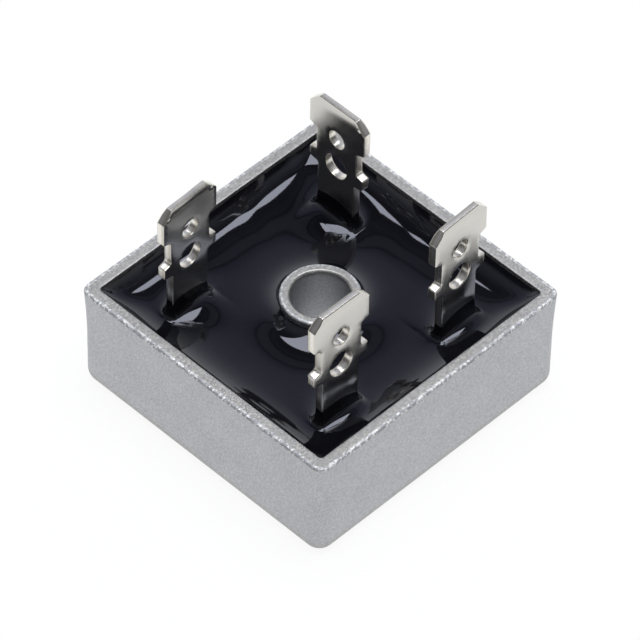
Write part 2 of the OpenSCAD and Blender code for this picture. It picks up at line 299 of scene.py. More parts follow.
world = bpy.data.worlds.new("pale_room")
bpy.context.scene.world = world
world.use_nodes = True
tree = world.node_tree
tree.nodes.clear()
way = add_node(tree, "ShaderNodeTexCoord").outputs["Generated"]
height = add_node(tree, "ShaderNodeSeparateXYZ", {0: way}).outputs["Z"]
nearness = add_node(tree, "ShaderNodeVectorMath", {0: way, 1: NEAR_WAY}, operation="DOT_PRODUCT")
near_share = {"Value": nearness.outputs["Value"], 1: FAR_ENDS, 2: NEAR_STARTS}
near_share = add_node(tree, "ShaderNodeMapRange", near_share)
far_side = add_node(tree, "ShaderNodeValToRGB", {"Fac": height}, FAR_SIDE)
near_side = add_node(tree, "ShaderNodeValToRGB", {"Fac": height}, NEAR_SIDE)
walls = {"Factor": near_share.outputs[0], 6: far_side.outputs["Color"], 7: near_side.outputs["Color"]}
walls = add_node(tree, "ShaderNodeMix", walls, data_type="RGBA")
sky = add_node(tree, "ShaderNodeBackground", {"Color": walls.outputs[2], "Strength": 1.0})
add_node(tree, "ShaderNodeOutputWorld", {"Surface": sky.outputs[0]})
print("room:", len(FAR_SIDE), "steps on the far side and", len(NEAR_SIDE), "on the near side")

# %% [markdown]
# One square soft box hangs overhead and faces straight down. Its sides are square to the
# camera and not to the case, so wherever the resin curves up, its mirror image is a white
# patch with pointed tips. Its power is worked out from how bright its face should look.

# %% Soft box
SOFT_BOX_PLACE, SOFT_BOX_SIDE, SOFT_BOX_BRIGHT = (0.077, -0.030, 1.0), 0.77, 6.1

lamp = bpy.data.lights.new("overhead_soft_box", "AREA")
lamp.shape, lamp.size, lamp.size_y = "RECTANGLE", SOFT_BOX_SIDE, SOFT_BOX_SIDE
lamp.energy = SOFT_BOX_BRIGHT * SOFT_BOX_SIDE**2 * math.pi
lamp.color = linear("#F8FAFF")[:3]
soft_box = bpy.data.objects.new("overhead_soft_box", lamp)
soft_box.location, soft_box.rotation_euler = SOFT_BOX_PLACE, (0, 0, LOOK_AZIMUTH)
bpy.context.scene.collection.objects.link(soft_box)
print("soft box sends out", round(lamp.energy, 1), "W")

# %% [markdown]
# The case is one aluminium die casting: a square box with a tube in its middle. A casting
# has one unbroken skin, so it is made as one closed sheet, and not from a box and a tube.
# A section runs up the hole, over the tube, down into the box, up the wall, over the rim,
# down the outside and back along the underside. Each of its points is carried round the
# middle, along a circle near the tube and along a rounded square near the walls.

# %% Size of the case
CASE_HALF, CORNER_R, TOP_CORNER_R, CAVITY_HALF, CAVITY_R = 14.25, 1.5, 1.0, 13.05, 0.35
RIM_Z, BASE_Z, TUBE_Z = 11.0, 2.2, 10.6
TUBE_R, BORE_R, MOUTH_CHAMFER = 3.5, 2.6, 0.15
RIM_EDGE, RIM_INNER_EDGE, FOOT_EDGE, TUBE_EDGE = 0.24, 0.10, 1.4, 0.25
SIDE_COLUMNS, CORNER_COLUMNS = 86, 14


def line(a, b, steps):
    """Points from a up to but not including b, evenly spaced."""
    t = np.arange(steps)[:, None] / steps
    return np.array(a, float) * (1 - t) + np.array(b, float) * t


def arc(middle, radius, start, end, steps):
    """Points of (distance out, height) on an arc round a middle, from one angle up to but not including
    another, in degrees."""
    angle = np.radians(start + (end - start) * np.arange(steps) / steps)
    return np.stack([middle[0] + radius * np.cos(angle), middle[1] + radius * np.sin(angle)], -1)


def square_round(half, corner, side_columns=SIDE_COLUMNS, corner_columns=CORNER_COLUMNS):
    """Points of one rounded square per row: a straight side, then a quarter circle, four times over. Half
    width and corner radius may be arrays, with one value a row."""
    half, corner = np.atleast_1d(half)[:, None], np.atleast_1d(corner)[:, None]
    side = (np.arange(side_columns) / side_columns * 2 - 1)[None, :]
    turn = (np.arange(corner_columns) / corner_columns * math.pi / 2)[None, :]
    x = np.concatenate([half + 0 * side, half - corner + corner * np.cos(turn)], 1)
    y = np.concatenate([side * (half - corner), half - corner + corner * np.sin(turn)], 1)
    turns = [np.stack([x, y], -1)]
    for _ in range(3):
        last = turns[-1]
        turns.append(np.stack([-last[..., 1], last[..., 0]], -1))
    return np.concatenate(turns, 1)


print("the casting's sheet is", 4 * (SIDE_COLUMNS + CORNER_COLUMNS), "columns round")

# %% [markdown]
# The section is a list of rows. A row near the tube lies on a circle and a row near the walls
# on a rounded square, and the floor between blends one into the other. Each row also says
# how much its edge has been knocked in the tumbling drum, which the finish reads later. The
# same number sets painted glints on the knocked edges, and a painted shade on the tube's top,
# the rim and its inner edge, and half as much on the foot.

# %% Section of the case
# What each row of the section holds: circle's radius, square's half width and corner radius,
# height, share of the square, and how much it is rubbed, which also sets its painted glints and painted
# shade.
RADIUS, HALF, CORNER, HEIGHT, SQUARE, RUBBED_GLINTS_AND_SHADE = range(6)
# How much each kind of row is rubbed. This also sets the share of painted glints, and from about 0.05 to 0.7
# a painted shade that darkens and warms the colour, fully from 0.24 to 0.40.
TUBE_TOP_RUB_AND_SHADE, TUBE_EDGE_RUB_AND_GLINTS, INNER_EDGE_RUB_AND_SHADE, RIM_EDGE_RUB_AND_GLINTS, FOOT_RUB_AND_SHADE = 0.25, 0.7, 0.3, 1.0, 0.15
RIM_RUB_AND_SHADE_IN, RIM_RUB_AND_SHADE_OUT = 0.2, 0.35
# The upright corners are tighter at the rim and ease to their full radius down to this height.
CORNER_EASED_Z = 5
LEAST_CORNER = 0.05


def round_rows(out_and_up, rub_glints_and_shade=0.0):
    """Rows on circles, for the tube and the hole."""
    d = np.asarray(out_and_up, float)
    z = 0 * d[:, 0]
    return np.stack([d[:, 0], z + CAVITY_HALF, z + CAVITY_R, d[:, 1], z, z + rub_glints_and_shade], -1)


def square_rows(out_and_up, base_half, base_corner, rub_glints_and_shade=0.0):
    """Rows on rounded squares. The corner's radius shrinks with the half width, so the corner's middle
    stays put."""
    d = np.asarray(out_and_up, float)
    z = 0 * d[:, 0]
    corner = np.maximum(base_corner + d[:, 0] - base_half, LEAST_CORNER)
    return np.stack([z + TUBE_R, d[:, 0], corner, d[:, 1], z + 1, z + rub_glints_and_shade], -1)


mouth, rim_drop, foot_in = BORE_R + MOUTH_CHAMFER, CASE_HALF - RIM_EDGE, CASE_HALF - FOOT_EDGE
inner_out, foot_corner = CAVITY_HALF + RIM_INNER_EDGE, CORNER_R - FOOT_EDGE
tube_edge_middle = (TUBE_R - TUBE_EDGE, TUBE_Z - TUBE_EDGE)

hole_up = line((BORE_R, MOUTH_CHAMFER), (BORE_R, TUBE_Z - MOUTH_CHAMFER), 22)
hole_mouth = line((BORE_R, TUBE_Z - MOUTH_CHAMFER), (mouth, TUBE_Z), 3)
tube_top = line((mouth, TUBE_Z), (TUBE_R - TUBE_EDGE, TUBE_Z), 7)
tube_edge = arc(tube_edge_middle, TUBE_EDGE, 90, 0, 6)
tube_down = line((TUBE_R, TUBE_Z - TUBE_EDGE), (TUBE_R, BASE_Z), 12)
wall_up = line((CAVITY_HALF, BASE_Z), (CAVITY_HALF, RIM_Z - RIM_INNER_EDGE), 16)
inner_edge = arc((inner_out, RIM_Z - RIM_INNER_EDGE), RIM_INNER_EDGE, 180, 90, 4)
outer_edge = arc((rim_drop, RIM_Z - RIM_EDGE), RIM_EDGE, 90, 0, 9)
outside = line((CASE_HALF, RIM_Z - RIM_EDGE), (CASE_HALF, FOOT_EDGE), 46)
foot = arc((foot_in, FOOT_EDGE), FOOT_EDGE, 0, -90, 14)
under_mouth = line((mouth, 0), (BORE_R, MOUTH_CHAMFER), 2)

floor_rows = line((TUBE_R, CAVITY_HALF, CAVITY_R, BASE_Z, 0, 0),
                  (TUBE_R, CAVITY_HALF, CAVITY_R, BASE_Z, 1, 0), 5)
rim_rows = line((TUBE_R, inner_out, CAVITY_R + RIM_INNER_EDGE, RIM_Z, 1, RIM_RUB_AND_SHADE_IN),
                (TUBE_R, rim_drop, TOP_CORNER_R - RIM_EDGE, RIM_Z, 1, RIM_RUB_AND_SHADE_OUT), 6)
outside_rows = square_rows(outside, CASE_HALF, CORNER_R)
eased = np.clip((outside_rows[:, HEIGHT] - CORNER_EASED_Z) / (RIM_Z - RIM_EDGE - CORNER_EASED_Z), 0, 1)
outside_rows[:, CORNER] -= (CORNER_R - TOP_CORNER_R) * eased**2
under_rows = line((mouth, foot_in, foot_corner, 0, 1, 0), (mouth, foot_in, foot_corner, 0, 0, 0), 12)
section = np.concatenate([
    round_rows(hole_up), round_rows(np.concatenate([hole_mouth, tube_top]), TUBE_TOP_RUB_AND_SHADE),
    round_rows(tube_edge, TUBE_EDGE_RUB_AND_GLINTS), round_rows(tube_down), floor_rows,
    square_rows(wall_up, CAVITY_HALF, CAVITY_R),
    square_rows(inner_edge, CAVITY_HALF, CAVITY_R, INNER_EDGE_RUB_AND_SHADE), rim_rows,
    square_rows(outer_edge, CASE_HALF, TOP_CORNER_R, RIM_EDGE_RUB_AND_GLINTS), outside_rows,
    square_rows(foot, CASE_HALF, CORNER_R, FOOT_RUB_AND_SHADE), under_rows, round_rows(under_mouth)])
print("section of the case:", len(section), "rows")

# %% [markdown]
# Carrying the section round gives the whole skin in one go. A cast skin is never quite flat,
# so each point is then sunk a few thousandths of a millimetre along the skin's own outward
# direction, and the knocked edges get small nicks. Nothing is raised, so the case doesn't
# grow past its drawn size.

# %% The case, carried round
LUMP_DEPTH, WIDE_LUMP, FINE_LUMP = 0.007, 3.3, 0.75
NICK_DEPTH, NICK_WIDTH, NICK_FROM = 0.022, 0.45, 0.15
# Below this height the tube is smoother: a pin cores its hole, and resin covers its outside.
CORED_BELOW_Z, CORED_SHARE = 8, 0.3


def carried_round(rows, side_columns=SIDE_COLUMNS, corner_columns=CORNER_COLUMNS):
    """Each row's point carried round the middle: a circle and a rounded square blended by the row's share
    of the square."""
    squares = square_round(rows[:, HALF], rows[:, CORNER], side_columns, corner_columns)
    outline = square_round(CASE_HALF, CORNER_R, side_columns, corner_columns)[0]
    angle = np.arctan2(outline[:, 1], outline[:, 0])
    circles = rows[:, RADIUS, None, None] * np.stack([np.cos(angle), np.sin(angle)], -1)
    share = rows[:, SQUARE, None, None]
    flat = circles * (1 - share) + squares * share
    return np.concatenate([flat, np.broadcast_to(rows[:, HEIGHT, None, None], (*flat.shape[:2], 1))], -1)


def sheet_normals(points):
    """Outward direction at each point of a grid that closes both ways, from the cross product of its two
    directions."""
    along = np.roll(points, -1, 0) - np.roll(points, 1, 0)
    round_it = np.roll(points, -1, 1) - np.roll(points, 1, 1)
    n = np.cross(along, round_it)
    return n / np.maximum(np.linalg.norm(n, axis=-1, keepdims=True), 1e-9)


case_points = carried_round(section)
lumps = 0.4 * lattice_noise(case_points, WIDE_LUMP, 1) + 0.6 * lattice_noise(case_points, FINE_LUMP, 2)
nicks = np.clip(lattice_noise(case_points, NICK_WIDTH, 3) - NICK_FROM, 0, 1) * section[:, RUBBED_GLINTS_AND_SHADE, None]
as_cast = (section[:, SQUARE] > 0) | (section[:, HEIGHT] > CORED_BELOW_Z)
sunk = (LUMP_DEPTH * (1 + lumps) + NICK_DEPTH * nicks) * np.where(as_cast, 1.0, CORED_SHARE)[:, None]
case_points = case_points - sheet_normals(case_points) * sunk[..., None]
case_points[..., 2] = np.maximum(case_points[..., 2], 0.0)
case_shell = ring_piece("case_casting", case_points, "aluminium", "case")
# The rubbing goes with each point. The finish also takes its painted glints and painted shade from it.
mark_points(case_shell, "rubbed_glints_and_shade", np.repeat(section[:, RUBBED_GLINTS_AND_SHADE], case_points.shape[1]))
print("case:", len(case_shell.data.polygons) * 2, "triangles,", round(volume_mm3(case_shell)), "mm3")
print("uneven edges of the case:", uneven_edges(case_shell))

# %% [markdown]
# The skin of a die casting that has been tumbled is satin: very fine dull grains, each
# tilted its own way, so it shines softly in all directions. Edges that knock against other
# castings in the drum are frosted by tiny dents, which is wear, and show as a paler line with
# bright specks, which are painted glints in the colour. The look needs three sizes of detail:
# grains of about 0.2 mm, cloudy patches of 2 to 4 mm where the metal cooled faster, and a few
# dark pores. The flat top of the rim, which is rubbed but not knocked, is painted a little
# darker and warmer than the walls because it faces up: painted shade. So are the top of the
# tube and the rim's inner edge, and the foot half as much.

# %% Tumbled die-cast aluminium
# The grain and its facets are finer than this on a real skin, and are drawn as coarse as they need to
# be to show.
GRAIN_MM, FACET_MM, PORE_MM, CLOUD_MM = 0.20, 0.19, 1.3, 3.4
CAST_GREY = [(0.30, "#A8A9AC"), (0.5, "#BABBBE"), (0.70, "#CCCDCF")]
COOLED_CLOUDS = [(0.3, "#F7F7F8"), (0.7, "#FFFFFF")]
DARK_PORES = [(0.035, "#8C8C8E"), (0.075, "#FFFFFF")]
# The knocked edges: frosting, which is wear, with bright specks that are painted glints.
FROST_AND_PAINTED_GLINTS = [(0.25, "#A0A1A3"), (0.55, "#B4B5B6"), (0.85, "#E6E6E4")]
# Painted shade, by how much a row is rubbed: the rim, its inner edge and the tube's top are darkened and
# warmed, and the foot half as much.
RIM_PAINTED_SHADE = [(0.05, "#FFFFFF"), (0.24, "#EBE8E1"), (0.40, "#EBE8E1"), (0.70, "#FFFFFF")]


def cast_aluminium():
    """Metallic grey with grain in its colour, its gloss and its bump, painted shade on the rim, and frosted
    edges with painted glints.
    """
    made, tree = new_material("tumbled_die_cast_aluminium")
    place = add_node(tree, "ShaderNodeTexCoord").outputs["Object"]
    grains = {"Vector": place, "Scale": 1 / (GRAIN_MM * MM), "Detail": 2.5, "Roughness": 0.6}
    grain = add_node(tree, "ShaderNodeTexNoise", grains).outputs["Fac"]
    patches = {"Vector": place, "Scale": 1 / (CLOUD_MM * MM), "Detail": 3.0, "Roughness": 0.6}
    clouds = add_node(tree, "ShaderNodeTexNoise", patches).outputs["Fac"]
    pores = add_node(tree, "ShaderNodeTexVoronoi", {"Vector": place, "Scale": 1 / (PORE_MM * MM)})
    facets = add_node(tree, "ShaderNodeTexVoronoi", {"Vector": place, "Scale": 1 / (FACET_MM * MM)})
    speck = add_node(tree, "ShaderNodeSeparateColor", {0: facets.outputs["Color"]})
    rubbed_glints_and_shade = add_node(tree, "ShaderNodeAttribute", attribute_name="rubbed_glints_and_shade").outputs["Fac"]
    knocked = add_node(tree, "ShaderNodeMapRange", {"Value": rubbed_glints_and_shade, 1: 0.3, 2: 1.0}).outputs[0]

    grey = add_node(tree, "ShaderNodeValToRGB", {"Fac": grain}, CAST_GREY)
    cloudy = add_node(tree, "ShaderNodeValToRGB", {"Fac": clouds}, COOLED_CLOUDS)
    skin = {"Factor": 1.0, 6: grey.outputs["Color"], 7: cloudy.outputs["Color"]}
    skin = add_node(tree, "ShaderNodeMix", skin, data_type="RGBA", blend_type="MULTIPLY")
    dark = add_node(tree, "ShaderNodeValToRGB", {"Fac": pores.outputs["Distance"]}, DARK_PORES)
    pored = {"Factor": 0.55, 6: skin.outputs[2], 7: dark.outputs["Color"]}
    pored = add_node(tree, "ShaderNodeMix", pored, data_type="RGBA", blend_type="MULTIPLY")
    # Frosted edges, with bright specks as painted glints
    frost_and_glints = add_node(tree, "ShaderNodeValToRGB", {"Fac": speck.outputs[0]}, FROST_AND_PAINTED_GLINTS)
    edged = {"Factor": rubbed_glints_and_shade, 6: pored.outputs[2], 7: frost_and_glints.outputs["Color"]}
    edged = add_node(tree, "ShaderNodeMix", edged, data_type="RGBA")
    # Painted shade on the rim, its inner edge, the tube's top and half the foot
    rim = add_node(tree, "ShaderNodeValToRGB", {"Fac": rubbed_glints_and_shade}, RIM_PAINTED_SHADE)
    toned = {"Factor": 1.0, 6: edged.outputs[2], 7: rim.outputs["Color"]}
    toned = add_node(tree, "ShaderNodeMix", toned, data_type="RGBA", blend_type="MULTIPLY")

    satin = add_node(tree, "ShaderNodeMapRange", {"Value": grain, 1: 0.3, 2: 0.7, 3: 0.40, 4: 0.52})
    duller = add_node(tree, "ShaderNodeMath", {0: knocked, 1: 0.17}, operation="MULTIPLY")
    rough = {0: satin.outputs[0], 1: duller.outputs[0]}
    rough = add_node(tree, "ShaderNodeMath", rough, operation="ADD", use_clamp=True)
    frosted = add_node(tree, "ShaderNodeMapRange", {"Value": knocked, 3: 1.0, 4: 0.66})
    relief = add_node(tree, "ShaderNodeMath", {0: grain, 1: speck.outputs[1]}, operation="ADD")
    bump = {"Height": relief.outputs[0], "Distance": 0.02 * MM, "Strength": 0.55}
    bump = add_node(tree, "ShaderNodeBump", bump)
    shader = add_node(tree, "ShaderNodeBsdfPrincipled", {
        "Base Color": toned.outputs[2], "Metallic": frosted.outputs[0], "Roughness": rough.outputs[0],
        "Normal": bump.outputs[0]})
    add_node(tree, "ShaderNodeOutputMaterial", {"Surface": shader.outputs[0]})
    return made


aluminium = cast_aluminium()
put_on(case_shell, aluminium)
print("material:", aluminium.name)

# %% [markdown]
# Each tab is stamped from 0.8 mm plated strip, thinned at its tip, and bent into a foot that
# is soldered down inside. It could be modelled as a block with cut-outs, but a stamping is
# a flat blank first, so it is made that way here: a rounded outline with two holes, filled
# with triangles, given its thickness along every edge, and then bent by moving its points.
# The outline comes first, from a few sizes of such push-on tabs.

# %% Outline of the tab's blank
TAB_T, TIP_T, TIP_BEVEL, BEND_R, FOOT_L = 0.8, 0.54, 0.5, 0.6, 3.2
HALF_HEAD, HALF_NECK, HALF_EAR, HALF_STEM = 3.175, 2.325, 3.1, 2.1
TIP_CORNER, HEAD_H, NOTCH_SLOPE = 1.05, 3.45, 0.3
EAR_DOWN, EAR_SLOPE, EAR_H = 6.3, 0.2, 1.1
# Each hole: distance below the tip, radius
HOLES = [(3.65, 0.9), (6.85, 1.25)]
HOLE_STEPS, OUTLINE_SPACING = 56, 0.22
# One side of the outline: distance from the middle, distance below the tip, corner radius
SIDE = [
    (HALF_HEAD - TIP_CORNER, 0.0, 0.12), (HALF_HEAD, TIP_CORNER, 0.12),
    (HALF_HEAD, HEAD_H, 0.16), (HALF_NECK, HEAD_H + NOTCH_SLOPE, 0.3),
    (HALF_NECK, EAR_DOWN, 0.28), (HALF_EAR, EAR_DOWN + EAR_SLOPE, 0.14),
    (HALF_EAR, EAR_DOWN + EAR_SLOPE + EAR_H, 0.2), (HALF_STEM, EAR_DOWN + EAR_H + 2 * EAR_SLOPE, 0.3),
]


def rounded_outline(corners, steps=7):
    """Closed outline with each corner cut back along its two sides, by less than half of either, and
    replaced by a curve that leaves one side and meets the other (a quadratic Bezier)."""
    c = np.array(corners, float)
    p, r = c[:, :2], c[:, 2]
    before, after = np.roll(p, 1, 0) - p, np.roll(p, -1, 0) - p
    lb, la = np.linalg.norm(before, axis=1), np.linalg.norm(after, axis=1)
    ub, ua = before / lb[:, None], after / la[:, None]
    opening = np.arccos(np.clip((ub * ua).sum(1), -1, 1))
    cut = np.minimum(r / np.tan(opening / 2), 0.45 * np.minimum(lb, la))[:, None]
    a, b = p + ub * cut, p + ua * cut
    t = np.linspace(0, 1, steps)[None, :, None]
    return ((1 - t) ** 2 * a[:, None] + 2 * t * (1 - t) * p[:, None] + t**2 * b[:, None]).reshape(-1, 2)


def evenly_along(outline, spacing):
    """The same closed outline with extra points on its long stretches, none further apart than the
    spacing."""
    nxt = np.roll(outline, -1, 0)
    counts = np.maximum(1, np.ceil(np.linalg.norm(nxt - outline, axis=1) / spacing).astype(int))
    owner = np.repeat(np.arange(len(outline)), counts)
    share = (np.arange(counts.sum()) - np.repeat(np.cumsum(counts) - counts, counts)) / counts[owner]
    return outline[owner] * (1 - share[:, None]) + nxt[owner] * share[:, None]


def blank_loops(length):
    """The blank's outline and its holes as closed loops of (x, -distance below the tip). The outline runs
    from the tip at 0 to the far end at this length."""
    side = SIDE + [(HALF_STEM, length, 0.3)]
    right = [(x, -down, r) for x, down, r in side]
    left = [(-x, -down, r) for x, down, r in side[::-1]]
    outline = evenly_along(rounded_outline((right + left)[::-1]), OUTLINE_SPACING)
    turn = -np.linspace(0, 2 * math.pi, HOLE_STEPS + 1)[:-1]
    return [outline] + [np.stack([r * np.cos(turn), -down + r * np.sin(turn)], -1) for down, r in HOLES]


print("outline of a 20 mm blank:", len(blank_loops(20.0)[0]), "points")

# %% [markdown]
# Sheet that has been punched has a small curve on the side where the punch went in and a
# sharper one on the other. So each edge of the blank gets a narrow strip across the
# thickness, and the two faces are filled up to the strip's first and last rows with even
# triangles, so that they can be bent without creasing.

# %% Filling and thickness
FILL_SPACING, FILL_CLEAR, FILL_LENGTH, FILL_COLUMNS = 0.42, 0.24, 24, 10
FRONT_ROLL, BACK_ROLL, HOLE_BACK_ROLL = 0.1, 0.06, 0.05


def outward(outline):
    """Unit direction out of a closed outline at each point, square to the line through its neighbours."""
    d = np.roll(outline, -1, 0) - np.roll(outline, 1, 0)
    n = np.stack([d[:, 1], -d[:, 0]], -1)
    return n / np.linalg.norm(n, axis=1, keepdims=True)


def edge_strip(outline, front_roll, back_roll):
    """Rows of (x, -down, share of the thickness) across the sheared edge: a small curve off the front face,
    a straight cut, and a small curve onto the back face."""
    n = outward(outline)
    turn = np.radians([0, 22.5, 45, 67.5, 90])
    in_from, off_face = 1 - np.sin(turn), (1 - np.cos(turn)) / (TAB_T / 2)
    front = np.stack([front_roll * in_from, 1 - front_roll * off_face], -1)
    back_curve = np.stack([back_roll * in_from, -1 + back_roll * off_face], -1)[::-1]
    straight = np.stack([np.zeros(5), np.linspace(front[-1, 1], back_curve[0, 1], 7)[1:-1]], -1)
    profile = np.concatenate([front, straight, back_curve])
    flat = outline[None] - n[None] * profile[:, :1, None]
    return np.concatenate([flat, np.broadcast_to(profile[:, 1, None, None], (*flat.shape[:2], 1))], -1)


def inside_loop(points, loop):
    """True for points inside a closed loop: a ray to the right crosses it an odd number of times."""
    a, b = loop, np.roll(loop, -1, 0)
    x, y = points[:, :1], points[:, 1:]
    spans = (a[:, 1] > y) != (b[:, 1] > y)
    rise = np.where(b[:, 1] == a[:, 1], 1e-9, b[:, 1] - a[:, 1])
    cross_x = a[:, 0] + (y - a[:, 1]) / rise * (b[:, 0] - a[:, 0])
    return (spans & (x < cross_x)).sum(1) % 2 == 1


def in_metal(points, loops):
    """True for points inside the first loop and outside all the others."""
    return inside_loop(points, loops[0]) & ~np.any([inside_loop(points, k) for k in loops[1:]], 0)


def filled_blank(loops):
    """Triangles that fill the blank: its outline and hole rings are kept as edges, and a staggered grid of
    points is added between them."""
    row, col = np.mgrid[0 : int(FILL_LENGTH / FILL_SPACING), -FILL_COLUMNS : FILL_COLUMNS + 1]
    staggered = np.stack([(col + 0.5 * (row % 2)) * FILL_SPACING, -row * FILL_SPACING * 0.87], -1)
    grid = staggered.reshape(-1, 2)
    fixed = np.concatenate(loops)
    clear = np.hypot(*(fixed[None] - grid[:, None]).transpose(2, 0, 1)).min(1) > FILL_CLEAR
    grid = grid[clear & in_metal(grid, loops)]
    starts = np.cumsum([0] + [len(k) for k in loops])
    edges = [(s + i, s + (i + 1) % len(k)) for s, k in zip(starts, loops) for i in range(len(k))]
    out = delaunay_2d_cdt([Vector(p) for p in np.concatenate([fixed, grid])], edges, [], 0, 1e-6)
    flat, triangles = np.array([tuple(v) for v in out[0]]), np.array(out[2])
    return flat, triangles[in_metal(flat[triangles].mean(1), loops)]


def flat_blank(length):
    """A blank with its thickness, still flat: points of (x, -down, share of the thickness), the quads of its
    sheared edges and the triangles of its two faces."""
    outline, *holes = blank_loops(length)
    rolled = [(outline, BACK_ROLL)] + [(hole, HOLE_BACK_ROLL) for hole in holes]
    strips = [edge_strip(loop, FRONT_ROLL, back_roll) for loop, back_roll in rolled]
    starts = np.cumsum([0] + [k.shape[0] * k.shape[1] for k in strips])
    quads = np.concatenate([ring_faces(*k.shape[:2], close_rows=False) + s for k, s in zip(strips, starts)])
    points, triangles = [k.reshape(-1, 3) for k in strips], []
    count = starts[-1]
    for row, share, order in ((0, 1.0, 1), (-1, -1.0, -1)):
        flat, filled = filled_blank([k[row, :, :2] for k in strips])
        points.append(np.concatenate([flat, np.full((len(flat), 1), share)], 1))
        triangles.append(filled[:, ::order] + count)
        count += len(flat)
    return np.concatenate(points), quads, np.concatenate(triangles)


print("a 20 mm blank has", len(flat_blank(20.0)[0]), "points")

# %% [markdown]
# The press then bends the blank: every point past the start of the bend goes round a quarter
# circle and on along the foot. A real blank is never dead flat either, so the free part of
# each tab gets a very slight wave, which is what makes its mirror images wander.

# %% Bending
WARP_DEPTH, WARP_LENGTHS = 0.02, (7.0, 4.3, 3.1)
# The wave fades out between these heights above the foot.
WARP_NONE, WARP_FULL = 5, 11


def half_thickness(down):
    """Half of the blank's thickness at this distance below the tip: it tapers evenly over the bevel."""
    return (TIP_T + (TAB_T - TIP_T) * np.clip(down / TIP_BEVEL, 0, 1)) / 2


def bent(x, down, offset, total):
    """Where a point of the flat blank goes when the foot of a tab of this total height is bent: straight
    down, then round a quarter circle, then straight out along +Y. The offset is measured from the middle of
    the thickness, towards -Y on the upright part."""
    middle_r = BEND_R + TAB_T / 2
    start = total - TAB_T - BEND_R
    angle = np.clip((down - start) / middle_r, 0, math.pi / 2)
    past = np.maximum(down - start - middle_r * math.pi / 2, 0)
    radius = middle_r + offset
    y = np.where(down > start, middle_r - radius * np.cos(angle) + past, -offset)
    z = np.where(down > start, -start - radius * np.sin(angle), -down)
    return np.stack([x + 0 * y, y, z], -1)


def bent_tab(points, total, seed):
    """The flat blank's points after bending and a slight warp, with the tip's middle at the origin."""
    down = -points[:, 1]
    made = bent(points[:, 0], down, points[:, 2] * half_thickness(down), total)
    free = np.clip((total - WARP_NONE - down) / (WARP_FULL - WARP_NONE), 0, 1)
    made[:, 1] += free * WARP_DEPTH * long_waves(points[:, 0], down, WARP_LENGTHS, seed)
    return made


print("half thickness at the tip and below it:", half_thickness(np.array([0.0, 2.0])))

# %% [markdown]
# Where each tab stands, how it is turned and which way its foot points are read from its CAD
# node, so the dressed tab can't drift from the solid that it stands for. Two numbers go with
# each point, the place across the thickness and whether it lies on a sheared edge, because
# the plating looks different there.

# %% The four tabs
# Points this near the top and the bottom make the tip and the foot, and points past this share of the
# way from the tip's middle to its corners make its two ends.
TIP_BAND, FOOT_BAND, END_SHARE = 0.01, 0.05, 0.96
# Points nearer the middle of the thickness than this share of its half lie on a sheared edge.
SHEARED_BELOW, MERGED_MM = 0.9, 0.002


def tab_place(node):
    """Place of a CAD tab, in mm: the middle of its tip, the direction along its width and the one that its
    foot points in, the tip's height, and the tab's total height."""
    co = vertex_places(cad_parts[node])
    top, low = co[:, 2].max(), co[:, 2].min()
    tip = co[co[:, 2] > top - TIP_BAND][:, :2]
    middle = (tip.min(0) + tip.max(0)) / 2
    ends = tip - middle
    far = ends[np.argmax((ends**2).sum(1))]
    reach = ends @ far / (far @ far)
    along = ends[reach > END_SHARE].mean(0) - ends[reach < -END_SHARE].mean(0)
    along = along / np.linalg.norm(along)
    foot_way = np.array([-along[1], along[0]])
    foot_middle = co[co[:, 2] < low + FOOT_BAND][:, :2].mean(0)
    if foot_way @ (foot_middle - middle) < 0:
        along, foot_way = -along, -foot_way
    return middle, along, foot_way, top, top - low


def joined_outwards(made):
    """Merges the points that a piece's faces and edges share, and turns all its faces outwards."""
    body = bmesh.new()
    body.from_mesh(made.data)
    bmesh.ops.remove_doubles(body, verts=body.verts, dist=MERGED_MM * MM)
    bmesh.ops.recalc_face_normals(body, faces=body.faces)
    body.to_mesh(made.data)
    body.free()


def tab_from_node(name, node, seed):
    """The tab that stands for a CAD node. It also gives the middle of its tip and its width's direction."""
    middle, along, foot_way, top, total = tab_place(node)
    middle_r = BEND_R + TAB_T / 2
    length = total - TAB_T - BEND_R + middle_r * math.pi / 2 + FOOT_L - TAB_T / 2 - middle_r
    points, quads, triangles = flat_blank(length)
    local = bent_tab(points, total, seed)
    placed = middle + local[:, :1] * along + local[:, 1:2] * foot_way
    placed = np.concatenate([placed, local[:, 2:] + top], 1)
    made = new_piece(name, "plated", placed, quads, triangles)
    mark_points(made, "across", points[:, 2])
    mark_points(made, "sheared", np.abs(points[:, 2]) < SHEARED_BELOW)
    joined_outwards(made)
    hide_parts(node)
    # A fault that is still open: six edges of each tab are uneven. The filling leaves two flakes, under a
    # thousandth of a millimetre wide, on the sloped corners of the tip. Each tilts the shading there by
    # about 25 degrees, and shows as a small dark or pale mark. A closed skin wouldn't have them.
    print(name, "at", middle.round(2), len(made.data.polygons), "faces, uneven edges:", uneven_edges(made))
    print("   its volume:", round(volume_mm3(made), 1), "mm3")
    return made, middle, along


TAB_NAMES = ("positive", "negative", "ac_left", "ac_right")
tabs = {}
for seed, name in enumerate(TAB_NAMES, 1):
    tabs[name] = tab_from_node("tab_" + name, "terminal_" + name, seed)

# %% [markdown]
# The tabs' plating is a few thousandths of a millimetre of nickel over brass: a warm, pale
# grey metal, satin on its rolled faces. The sheared edges are rougher and brighter, with
# bands along them where the punch first cut cleanly and then tore.

# %% Nickel-plated brass strip
# Real rolling lines and torn grit are finer than this, and are drawn as coarse as they need to be to show.
ROLLING_LINE_MM, ROLLING_LINE_LENGTH_MM, HANDLING_CLOUD_MM, GRIT_MM = 0.12, 2.2, 1.6, 0.16
HANDLED_FACE = [(0.3, "#CBC9C4"), (0.6, "#CFCDC7"), (0.8, "#D3D0CA")]
SHEARED_EDGE = [(0.12, "#BDB8AC"), (0.4, "#D3CEC3"), (0.55, "#E9E6DE"), (0.85, "#EFECE6"), (1.0, "#D8D3C9")]


